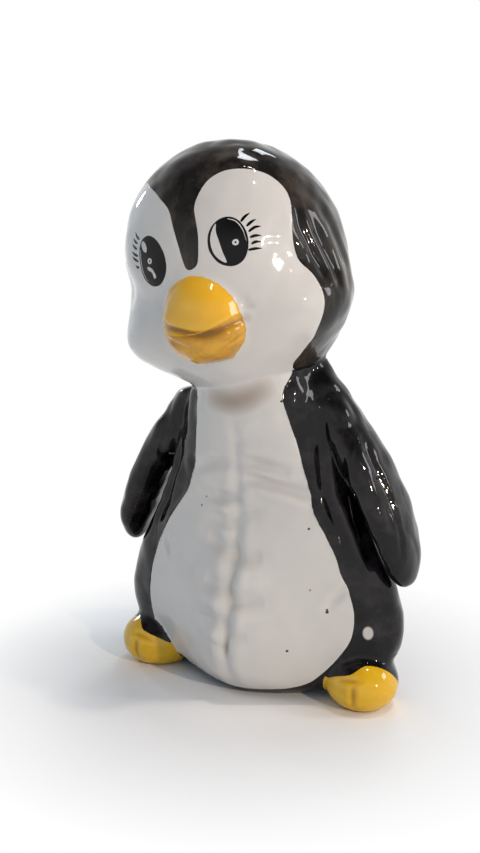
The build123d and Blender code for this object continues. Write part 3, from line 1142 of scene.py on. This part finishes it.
@dataclass
class Castings:
    """The two hollow castings with their wings and feet, and the glaze fields on them, in millimetres."""

    skin: bpy.types.Object
    field_depth: float = 1.8
    field_voxel: float = 2.0
    wall: float = 4.5
    wall_voxel: float = 2.5
    cavity_voxel: float = 1.5
    drain_radius: float = 11.0
    drain_depth: float = 14.0
    drain_middle: float = 5.0
    drain_rim: float = 1.0
    drain_corners: int = 64
    head_box: float = 240.0
    fat: float = 1.1
    bill_fat: float = 0.7
    fat_voxel: float = 0.8
    fat_smooth_steps: int = 8
    mouth_drop: float = 5.0
    mouth_rise: float = 8.0
    mouth_half_width: float = 22.8
    mouth_points: int = 25
    bill_out: float = -1.2
    bill_height: float = 28.5
    bill_overrun: float = 60.0
    toe_overrun: float = 60.0
    toe_start: float = -30.0
    hollow_nodes: tuple[str, ...] = ("torso", "belly_panel", "head", "face_panel")
    painted: tuple[str, ...] = ("iris", "eye_white", "glint", "lashes")
    pieces: dict[str, bpy.types.Object] = field(default_factory=dict)

    def fat_copy(self, *nodes: str, fat: float) -> bpy.types.Object:
        """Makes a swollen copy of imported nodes, which a piece's whole surface fits in.

        Args:
            *nodes: The nodes' names.
            fat: How far the copy stands out of them.

        Returns:
            The copy.
        """
        copy = copy_nodes("fat", nodes)
        swell(copy, self.fat_voxel, fat, self.fat_smooth_steps)
        return copy

    def build(self) -> dict[str, bpy.types.Object]:
        """Parts the skin into the real pieces.

        Returns:
            The pieces by their node's name.
        """
        floor = duplicate(self.skin, "floor_form")
        swell(floor, self.field_voxel, -self.field_depth)
        body = duplicate(self.skin, "body_stock")
        cavity = self.cavity()
        cut(body, cavity, Cut.TAKE_AWAY)
        drain = self.drain_cylinder(self.drain_radius)
        cut(body, drain, Cut.TAKE_AWAY)

        head = self.upper_half(body)
        self.pieces["torso"] = body
        self.pieces["head"] = head
        self.cut_bill(head)
        self.cut_face(head, floor)
        for side in Side:
            self.cut_wing(body, side)
            self.cut_foot(body, side)
        outline = smooth_path(BELLY_EDGE, steps=5, closed=True)
        belly_tool = column("belly_tool", outline, STANCE.body_frame())
        self.pieces["belly_panel"] = take(body, belly_tool, "belly_panel", floor)
        delete(belly_tool, floor, cavity, drain)
        return self.pieces

    def cavity(self) -> bpy.types.Object:
        """Builds the hollow inside both castings, one wall under their surface.

        Returns:
            The hollow as a closed form.
        """
        names = list(self.hollow_nodes) + [f"{side.word}_{name}" for name in self.painted for side in Side]
        cavity = copy_nodes("cavity", names)
        cavity = join("cavity", [cavity, self.drain_cylinder(self.drain_radius + self.drain_rim)])
        apply_modifier(cavity, "REMESH", mode="VOXEL", voxel_size=self.cavity_voxel * MM)
        cavity = keep_outer(cavity)
        swell(cavity, self.wall_voxel, -self.wall)
        # Behind the face's broad hollows the inside is drawn in too, so the wall keeps its thickness
        points = points_of(cavity)
        hollows = Creases(STANCE.face_frame(), FACE_HOLLOWS, lip_share=0.0)
        height, _ = hollows.press(points, faces_of(self.skin))
        place_points(cavity, points + normals_of(cavity) * height[:, None])
        return cavity

    def drain_cylinder(self, radius: float) -> bpy.types.Object:
        """Makes an upright cylinder through the floor of the lower casting.

        Args:
            radius: Its radius.

        Returns:
            The cylinder.
        """
        deselect_all()
        bpy.ops.mesh.primitive_cylinder_add(
            vertices=self.drain_corners,
            radius=radius * MM,
            depth=self.drain_depth * MM,
            location=(0, STANCE.axis_setback * MM, self.drain_middle * MM),
        )
        cylinder = bpy.context.view_layer.objects.active
        bpy.ops.object.transform_apply(location=True)
        return cylinder

    def upper_half(self, body: bpy.types.Object) -> bpy.types.Object:
        """Takes the head off the body, square to the tilted head at the neck.

        Args:
            body: The whole figure, which keeps what is below the neck.

        Returns:
            The head.
        """
        deselect_all()
        bpy.ops.mesh.primitive_cube_add(size=self.head_box * MM)
        box = bpy.context.view_layer.objects.active
        box.data.transform(STANCE.face_frame() @ Matrix.Translation((0, self.head_box / 2 * MM, 0)))
        head = take(body, box, "head")
        delete(box)
        return head

    def cut_bill(self, head: bpy.types.Object) -> None:
        """Takes the bill off the head and parts it at the mouth.

        Args:
            head: The head, which keeps the rest.
        """
        fat = self.fat_copy("upper_bill", "lower_bill", fat=self.bill_fat)
        lower = take(head, fat, "lower_bill")
        turn = np.linspace(-1, 1, self.mouth_points)
        smile = np.column_stack([turn * self.mouth_half_width, turn**2 * self.mouth_rise - self.mouth_drop])
        top = np.array([(sign * self.mouth_half_width, self.bill_overrun) for sign in (1, -1)])
        outline = np.vstack([smile, top]) + (self.bill_out, self.bill_height)
        above = column("above_mouth", outline, STANCE.face_frame())
        self.pieces["upper_bill"] = take(lower, above, "upper_bill")
        self.pieces["lower_bill"] = lower
        delete(fat, above)

    def cut_face(self, head: bpy.types.Object, floor: bpy.types.Object) -> None:
        """Takes the white face glaze off the head, and the painted eyes out of it.

        Args:
            head: The head, which keeps the rest.
            floor: What lies under the glaze fields.
        """
        outline = smooth_path(NEAR_FACE_EDGE + FAR_FACE_EDGE, steps=5, closed=True)
        tool = column("face_tool", outline, STANCE.face_frame())
        face = take(head, tool, "face_panel", floor)
        self.pieces["face_panel"] = face
        delete(tool)
        for eye in EYES:
            self.pieces.update(eye.build(face))

    def cut_wing(self, body: bpy.types.Object, side: Side) -> None:
        """Takes one wing off the torso.

        Args:
            body: The torso, which keeps the rest.
            side: The wing's side.
        """
        name = f"{side.word}_wing"
        fat = self.fat_copy(name, fat=self.fat)
        self.pieces[name] = take(body, fat, name)
        delete(fat)

    def cut_foot(self, body: bpy.types.Object, side: Side) -> None:
        """Takes one foot off the torso and parts its glazed toe cap from it.

        Args:
            body: The torso, which keeps the rest.
            side: The foot's side.
        """
        leg_name, cap_name = f"{side.word}_leg", f"{side.word}_toe_cap"
        fat = self.fat_copy(leg_name, cap_name, fat=self.fat)
        leg = take(body, fat, leg_name)
        edge = smooth_path(TOE_EDGE, steps=6)
        below = np.array([(edge[end, 0], -self.toe_overrun) for end in (-1, 0)])
        outline = np.vstack([edge, below]) * (side.value, 1)
        tool = column("toe_tool", outline, STANCE.toe_frame(side), self.toe_start)
        self.pieces[cap_name] = take(leg, tool, cap_name)
        self.pieces[leg_name] = leg
        delete(fat, tool)


@dataclass
class Eye:
    """One painted eye, in millimetres.

    Its outline and pupil are black, and in it are the white of the eye and a ring-shaped dot of light.
    The lashes stand beside it. In the far eye two small white patches are painted reflections of a window.
    """

    side: Side
    outline: Path
    whites_and_painted_reflections: tuple[Path, ...]
    white_lines: tuple[Path, ...]
    glint: tuple[float, float]
    lashes: tuple[Path, ...]
    glint_radius: float = 1.15
    glint_core: float = 0.38
    line_width: float = 0.38
    lash_width: float = 1.25

    def build(self, face: bpy.types.Object) -> dict[str, bpy.types.Object]:
        """Takes the eye's painted fields out of the face glaze.

        Args:
            face: The face glaze, which keeps the rest.

        Returns:
            The painted pieces by their node's name.
        """
        place = STANCE.face_frame()
        word = self.side.word
        lash_tool = columns("lash_tool", [brush_stroke(path, self.lash_width) for path in self.lashes], place)
        lashes = take(face, lash_tool, f"{word}_lashes")
        eye_tool = column("eye_tool", smooth_path(self.outline, steps=6, closed=True), place)
        iris = take(face, eye_tool, f"{word}_iris")
        outlines = [smooth_path(path, steps=5, closed=True) for path in self.whites_and_painted_reflections]
        outlines += [brush_stroke(path, self.line_width) for path in self.white_lines]
        white_tool = columns("white_tool", outlines, place)
        white = take(iris, white_tool, f"{word}_eye_white")
        ring = circle(self.glint, self.glint_radius, count=32)
        core = circle(self.glint, self.glint_core, count=20)
        glint_tool = column("glint_tool", ring, place)
        core_tool = column("core_tool", core, place, start=1.0)
        cut(glint_tool, core_tool, Cut.TAKE_AWAY)
        glint = take(iris, glint_tool, f"{word}_glint")
        delete(lash_tool, eye_tool, white_tool, glint_tool, core_tool)
        return {
            f"{word}_lashes": lashes,
            f"{word}_iris": iris,
            f"{word}_eye_white": white,
            f"{word}_glint": glint,
        }


EYES = (
    Eye(
        Side.LEFT,
        outline=(
            (17.9, 63.4), (14.4, 63.2), (11.3, 61.0), (9.5, 57.3), (9.3, 52.2), (12.0, 47.2), (16.3, 45.0),
            (20.2, 45.9), (22.6, 49.1), (23.6, 53.4), (23.0, 57.8), (21.0, 61.5),
        ),
        whites_and_painted_reflections=(
            ((13.2, 61.9), (11.4, 59.6), (10.3, 56.0), (10.6, 51.6), (12.4, 48.5), (14.7, 46.9), (14.0, 51.2),
             (13.4, 55.6), (12.9, 59.0)),
        ),
        white_lines=(((17.6, 62.7), (20.4, 61.0), (22.3, 57.4), (22.9, 52.6)),),
        glint=(19.2, 53.4),
        lashes=(
            ((22.0, 60.4), (23.4, 61.9), (25.3, 63.0)),
            ((23.7, 58.3), (25.2, 59.4), (27.0, 60.1)),
            ((24.1, 56.1), (26.2, 57.2), (28.3, 57.0)),
            ((24.2, 53.9), (26.0, 54.1), (28.0, 53.6)),
            ((24.3, 51.4), (25.8, 51.8), (27.6, 51.3)),
            ((22.9, 49.5), (25.1, 49.4), (27.4, 48.9)),
        ),
    ),
    Eye(
        Side.RIGHT,
        outline=(
            (-17.1, 64.1), (-20.0, 62.9), (-22.0, 59.6), (-22.9, 53.9), (-22.2, 48.4), (-19.3, 45.0),
            (-14.8, 44.6), (-11.2, 47.4), (-9.5, 51.4), (-9.6, 56.0), (-11.7, 60.6), (-14.2, 63.2),
        ),
        # The far eye's two small white patches are painted reflections of a window on its gloss
        whites_and_painted_reflections=(
            ((-20.0, 62.3), (-18.7, 62.2), (-17.8, 59.8), (-18.4, 58.0), (-19.8, 58.8), (-20.4, 60.8)),
            ((-19.0, 52.4), (-17.2, 51.8), (-16.0, 50.0), (-15.6, 48.0), (-16.8, 47.5), (-17.2, 49.8),
             (-18.9, 51.2)),
        ),
        white_lines=(((-21.5, 59.4), (-22.2, 54.0), (-21.7, 49.2), (-20.2, 46.2)),),
        glint=(-17.2, 54.4),
        lashes=(
            ((-21.4, 63.6), (-22.9, 65.0), (-24.0, 67.0)),
            ((-22.8, 62.2), (-24.2, 63.3), (-25.4, 64.9)),
            ((-23.4, 60.2), (-24.9, 61.2), (-26.3, 62.8)),
            ((-23.3, 57.5), (-25.2, 58.4), (-26.9, 59.9)),
            ((-23.7, 55.4), (-25.5, 56.5), (-27.2, 58.0)),
            ((-23.9, 53.1), (-25.0, 53.4), (-26.0, 54.3)),
        ),
    ),
)


@dataclass
class Penguin:
    """The whole figurine."""

    sharp_degrees: float = 50.0

    def finishes(self) -> dict[str, tuple[bpy.types.Material, str]]:
        """Makes each piece's material.

        Returns:
            The material and the record's slot that it stands for, by the node's name.
        """
        black = (BLACK_GLAZE.material(), "black_glaze")
        streaked = (HEAD_GLAZE.material(), "black_glaze")
        white = (WHITE_GLAZE.material(), "white_glaze")
        bill = (BILL_GLAZE.material(), "yellow_glaze")
        shaded_underbill = (SHADED_UNDERBILL_GLAZE.material(), "yellow_glaze")
        toe = (TOE_GLAZE.material(), "yellow_glaze")
        ink = (BLACK_PAINT.material(), "black_paint")
        bright = (WHITE_PAINT.material(), "eye_white_paint")
        table = {"torso": black, "head": streaked, "belly_panel": white, "face_panel": white}
        table |= {"upper_bill": bill, "lower_bill": shaded_underbill}
        for side in Side:
            table |= {f"{side.word}_wing": black, f"{side.word}_leg": black, f"{side.word}_toe_cap": toe}
            table |= {f"{side.word}_iris": ink, f"{side.word}_lashes": ink}
            table |= {f"{side.word}_eye_white": bright, f"{side.word}_glint": bright}
        return table

    def build(self) -> None:
        """Builds every piece, dresses it and puts it on the figure's one body."""
        skin = Skin().build()
        log.info("skin: %d points", len(skin.data.vertices))
        pieces = Castings(skin).build()
        make_active(skin)
        bpy.ops.object.shade_smooth()
        for node, (material, slot) in self.finishes().items():
            pieces[node].name = f"glazed_{node}"
            piece = drop_crumbs(pieces[node])
            make_active(piece)
            bpy.ops.object.shade_smooth_by_angle(angle=math.radians(self.sharp_degrees))
            borrow_normals(piece, skin)
            piece.data.materials.clear()
            piece.data.materials.append(material)
            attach(piece, "root")
            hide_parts(node)
            log.info("%s: %d faces", piece.name, len(piece.data.polygons))
        delete(skin)


@dataclass(frozen=True)
class Lamp:
    """One square soft lamp that faces the figure: its place and side in metres, its power in watts."""

    name: str
    place: tuple[float, float, float]
    size: float
    power: float
    colour: str

    def hang(self, target: Vector) -> None:
        """Hangs the lamp.

        Args:
            target: What it shines on.
        """
        data = bpy.data.lights.new(self.name, "AREA")
        data.size = self.size
        data.energy = self.power
        data.color = linear(self.colour)[:3]
        lamp = bpy.data.objects.new(self.name, data)
        lamp.location = self.place
        lamp.rotation_euler = (target - Vector(self.place)).to_track_quat("-Z", "Y").to_euler()
        bpy.context.scene.collection.objects.link(lamp)


LAMPS = (
    Lamp("ceiling_lamp", (0.37, 0.05, 1.36), 0.07, 3.2, "#FFEEDC"),
    Lamp("window_right", (1.05, -0.5, 0.60), 0.032, 5.4, "#FFE9D0"),
    Lamp("window_right_behind", (0.95, 0.4, 0.62), 0.34, 3.0, "#F6F6FA"),
    Lamp("window_left_behind", (-1.04, 0.5, 0.45), 0.14, 2.0, "#DCE8FA"),
    Lamp("window_behind", (-0.16, 0.82, 1.08), 0.3, 2.5, "#F4F8FF"),
)


@dataclass
class Studio:
    """Floor, lights and camera. The camera is the photograph's own view of the figure."""

    azimuth: float = 28.0
    distance_mm: float = 560.0
    height_mm: float = 250.0
    pitch: float = 13.9
    focal_pixels: float = 1390.0
    axis_column: float = 262.0
    width_pixels: float = 480.0
    height_pixels: float = 853.0
    sensor_mm: float = 24.0
    nearest_mm: float = 10.0
    aim_height_mm: float = 120.0
    floor_side_mm: float = 6000.0
    floor_colour: str = "#F4F3F1"
    fade_start_mm: float = 55.0
    fade_end_mm: float = 140.0
    room_colour: str = "#D4E4F6"
    room_strength: float = 0.47
    ceiling_colour: str = "#6E6E70"
    ceiling_start: float = 0.3
    ceiling_end: float = 0.8

    def camera(self) -> None:
        """Sets up the camera at the photograph's place."""
        turn = math.radians(self.azimuth)
        yaw = math.atan((self.axis_column - self.width_pixels / 2) / self.focal_pixels)
        away = Vector((-math.sin(turn), math.cos(turn), 0))
        right = Vector((math.cos(turn), math.sin(turn), 0))
        level = away * math.cos(yaw) - right * math.sin(yaw)
        down = math.radians(self.pitch)
        forward = level * math.cos(down) - Vector((0, 0, 1)) * math.sin(down)
        data = bpy.data.cameras.new("camera")
        data.sensor_fit = "VERTICAL"
        data.sensor_height = self.sensor_mm
        data.lens = self.focal_pixels / self.height_pixels * self.sensor_mm
        data.clip_start = self.nearest_mm * MM
        camera = bpy.data.objects.new("camera", data)
        bpy.context.scene.collection.objects.link(camera)
        back = Vector((0, STANCE.axis_setback, self.height_mm))
        camera.location = (back - away * self.distance_mm) * MM
        camera.rotation_euler = forward.to_track_quat("-Z", "Y").to_euler()
        bpy.context.scene.camera = camera

    def floor(self) -> None:
        """Lays a plain pale floor, which fades to white away from the figure."""
        deselect_all()
        bpy.ops.mesh.primitive_plane_add(size=self.floor_side_mm * MM, location=(0, 0, 0))
        floor = bpy.context.view_layer.objects.active
        floor.name = "floor"
        # Matt paper that takes the shadow near the figure and is plain white further off
        material = bpy.data.materials.new("pale_floor")
        material.use_nodes = True
        tree = material.node_tree
        tree.nodes.clear()
        paint = add_node(tree, "ShaderNodeBsdfDiffuse", {"Color": linear(self.floor_colour)})
        glow = add_node(tree, "ShaderNodeEmission", {"Color": (1, 1, 1, 1), "Strength": 1.0})
        place = out_of(add_node(tree, "ShaderNodeTexCoord"), "Object")
        away = add_node(tree, "ShaderNodeVectorMath", {"Vector": place}, operation="LENGTH")
        fade = add_node(
            tree,
            "ShaderNodeMapRange",
            {
                "Value": out_of(away, "Value"),
                "From Min": self.fade_start_mm * MM,
                "From Max": self.fade_end_mm * MM,
            },
            clamp=True,
        )
        share = add_node(
            tree, "ShaderNodeMath", {0: out_of(fade, "Result"), 1: self.seen(tree)}, operation="MULTIPLY"
        )
        mix = add_node(
            tree,
            "ShaderNodeMixShader",
            {"Fac": out_of(share, "Value"), 1: out_of(paint, "BSDF"), 2: out_of(glow, "Emission")},
        )
        add_node(tree, "ShaderNodeOutputMaterial", {"Surface": out_of(mix, "Shader")})
        floor.data.materials.append(material)

    def world(self) -> None:
        """Sets up the room's even light, and the white backdrop that the camera and the gloss see."""
        world = bpy.data.worlds.new("studio")
        world.use_nodes = True
        tree = world.node_tree
        tree.nodes.clear()
        way = out_of(add_node(tree, "ShaderNodeTexCoord"), "Generated")
        height = out_of(add_node(tree, "ShaderNodeSeparateXYZ", {"Vector": way}), "Z")
        above = add_node(
            tree,
            "ShaderNodeMapRange",
            {"Value": height, "From Min": self.ceiling_start, "From Max": self.ceiling_end},
            clamp=True,
        )
        backdrop = add_node(
            tree,
            "ShaderNodeMix",
            {"Factor": out_of(above, "Result"), "A": (1, 1, 1, 1), "B": linear(self.ceiling_colour)},
            data_type="RGBA",
        )
        room = add_node(
            tree, "ShaderNodeBackground", {"Color": linear(self.room_colour), "Strength": self.room_strength}
        )
        white = add_node(
            tree, "ShaderNodeBackground", {"Color": out_of(backdrop, "Result"), "Strength": 1.0}
        )
        mix = add_node(
            tree,
            "ShaderNodeMixShader",
            {"Fac": self.seen(tree), 1: out_of(room, "Background"), 2: out_of(white, "Background")},
        )
        add_node(tree, "ShaderNodeOutputWorld", {"Surface": out_of(mix, "Shader")})
        bpy.context.scene.world = world

    def seen(self, tree: bpy.types.NodeTree) -> bpy.types.NodeSocket:
        """Tells the rays that are seen, straight or by gloss or through glass, from the light itself.

        Args:
            tree: The node tree.

        Returns:
            The socket that is 1 for such rays, and 0 for the light.
        """
        rays = add_node(tree, "ShaderNodeLightPath")
        share = out_of(rays, "Is Camera Ray")
        for kind in ("Is Glossy Ray", "Is Transmission Ray"):
            either = add_node(tree, "ShaderNodeMath", {0: share, 1: out_of(rays, kind)}, operation="MAXIMUM")
            share = out_of(either, "Value")
        return share

    def build(self) -> None:
        """Sets up the view, the floor and the light."""
        self.camera()
        self.floor()
        self.world()
        for lamp in LAMPS:
            lamp.hang(Vector((0, 0, self.aim_height_mm * MM)))
        bpy.context.scene.view_settings.view_transform = "Standard"


def main() -> None:
    """Builds the studio and the figurine."""
    logging.basicConfig(level=logging.INFO, format="%(name)s: %(message)s")
    Studio().build()
    Penguin().build()


if __name__ == "__main__":
    main()
